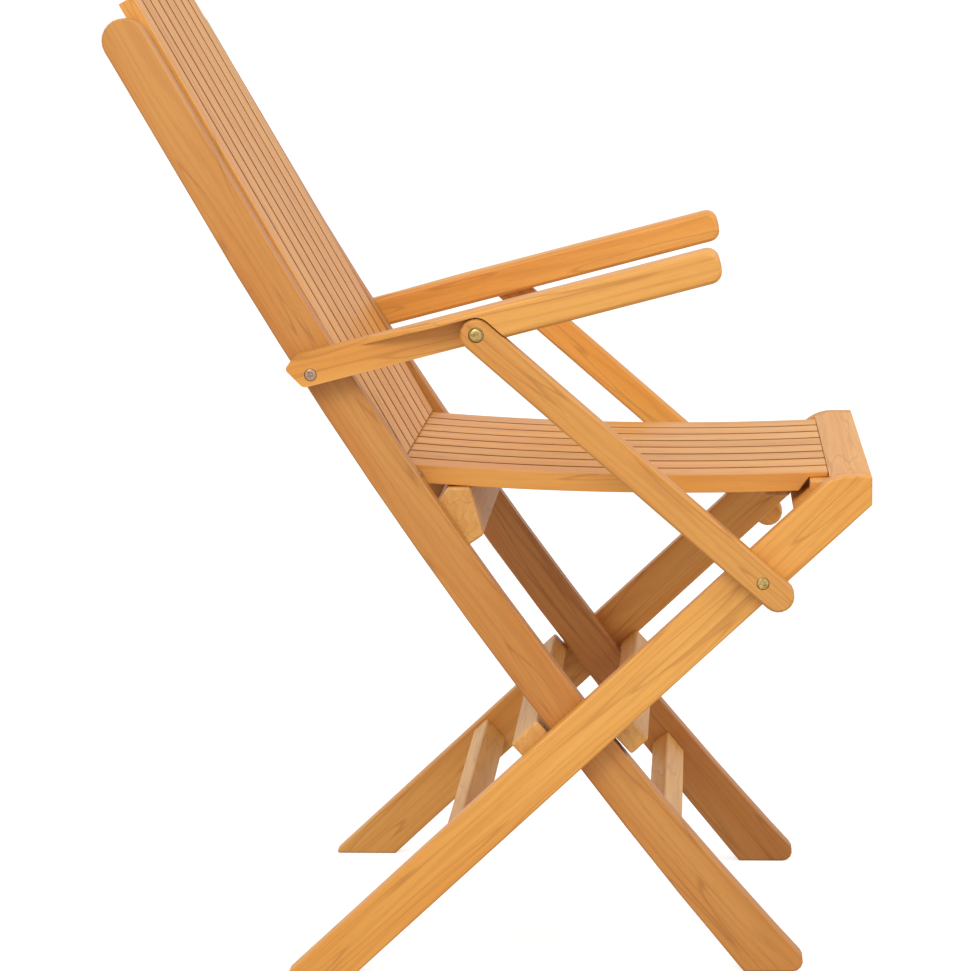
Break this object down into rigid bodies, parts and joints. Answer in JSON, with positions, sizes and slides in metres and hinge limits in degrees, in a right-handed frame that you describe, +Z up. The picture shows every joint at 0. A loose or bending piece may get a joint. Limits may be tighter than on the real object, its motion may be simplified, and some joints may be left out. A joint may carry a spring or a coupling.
{
  "type": "folding armchair",
  "caption": "Folding slatted teak armchair: crossed legs, high sloping back, dished seat and armrests on struts that fold with it.",
  "frame": {"origin": "on the floor under the middle of the open chair's outer box", "axes": "+X the way the sitter faces, +Y to the sitter's left, +Z up"},
  "size_m": [0.6863, 0.5332, 0.8873],
  "materials": {
    "teak_boards": "smooth, oiled, warm honey brown",
    "teak_rails": "smooth, oiled, a little paler",
    "zinc_steel": "zinc-plated",
    "brass": "satin"
  },
  "bodies": {
    "back_frame": {"stile_left": "teak_boards", "stile_right": "teak_boards", "back_slat_1": "teak_boards", "back_slat_2": "teak_boards", "back_slat_3": "teak_boards", "back_slat_4": "teak_boards", "back_slat_5": "teak_boards", "back_slat_6": "teak_boards", "back_slat_7": "teak_boards", "back_slat_8": "teak_boards", "back_top_rail": "teak_rails", "back_lower_rail": "teak_rails", "seat_support_rail": "teak_rails", "front_leg_stretcher": "teak_rails", "leg_pivot_pin_left": "zinc_steel", "leg_pivot_pin_right": "zinc_steel", "armrest_screw_left": "zinc_steel", "armrest_screw_right": "zinc_steel"},
    "rear_leg_frame": {"rear_leg_left": "teak_boards", "rear_leg_right": "teak_boards", "front_plank": "teak_boards", "stop_rail_rear": "teak_rails", "stop_rail_front": "teak_rails", "rear_leg_stretcher": "teak_rails"},
    "seat": {"seat_slat_1": "teak_boards", "seat_slat_2": "teak_boards", "seat_slat_3": "teak_boards", "seat_slat_4": "teak_boards", "seat_slat_5": "teak_boards", "seat_slat_6": "teak_boards", "seat_slat_7": "teak_boards", "seat_slat_8": "teak_boards", "seat_batten": "teak_rails", "seat_pivot_rod": "zinc_steel"},
    "armrest_left": {"armrest_left": "teak_boards", "strut_top_screw_left": "brass", "strut_top_washer_left": "brass"},
    "strut_left": {"arm_strut_left": "teak_boards", "strut_foot_screw_left": "brass"},
    "armrest_right": {"armrest_right": "teak_boards", "strut_top_screw_right": "brass", "strut_top_washer_right": "brass"},
    "strut_right": {"arm_strut_right": "teak_boards", "strut_foot_screw_right": "brass"}
  },
  "joints": [
    {"name": "leg_fold", "type": "hinge", "parent": "back_frame", "child": "rear_leg_frame", "pos_m": [0.08122, 0, 0.2212], "axis": [0, -1, 0], "range_deg": [0, 68]},
    {"name": "seat_fold", "type": "hinge", "parent": "back_frame", "child": "seat", "pos_m": [-0.065, 0, 0.4555], "axis": [0, -1, 0], "range_deg": [0, 102.1]},
    {"name": "armrest_left_fold", "type": "hinge", "parent": "back_frame", "child": "armrest_left", "pos_m": [-0.158, 0.2345, 0.5518], "axis": [0, -1, 0], "range_deg": [0, 87.28]},
    {"name": "strut_left_fold", "type": "hinge", "parent": "armrest_left", "child": "strut_left", "pos_m": [-0.00823, 0.25326, 0.58933], "axis": [0, -1, 0], "range_deg": [-100.6, 0]},
    {"name": "armrest_right_fold", "type": "hinge", "parent": "back_frame", "child": "armrest_right", "pos_m": [-0.158, -0.2345, 0.5518], "axis": [0, -1, 0], "range_deg": [0, 87.28]},
    {"name": "strut_right_fold", "type": "hinge", "parent": "armrest_right", "child": "strut_right", "pos_m": [-0.00823, -0.25326, 0.58933], "axis": [0, -1, 0], "range_deg": [-100.6, 0]}
  ],
  "couplings": [
    {"joint": "seat_fold", "follows": "leg_fold", "ratio": 1.5},
    {"joint": "armrest_left_fold", "follows": "leg_fold", "ratio": 1.282},
    {"joint": "strut_left_fold", "follows": "leg_fold", "ratio": -1.478},
    {"joint": "armrest_right_fold", "follows": "leg_fold", "ratio": 1.282},
    {"joint": "strut_right_fold", "follows": "leg_fold", "ratio": -1.478}
  ]
}
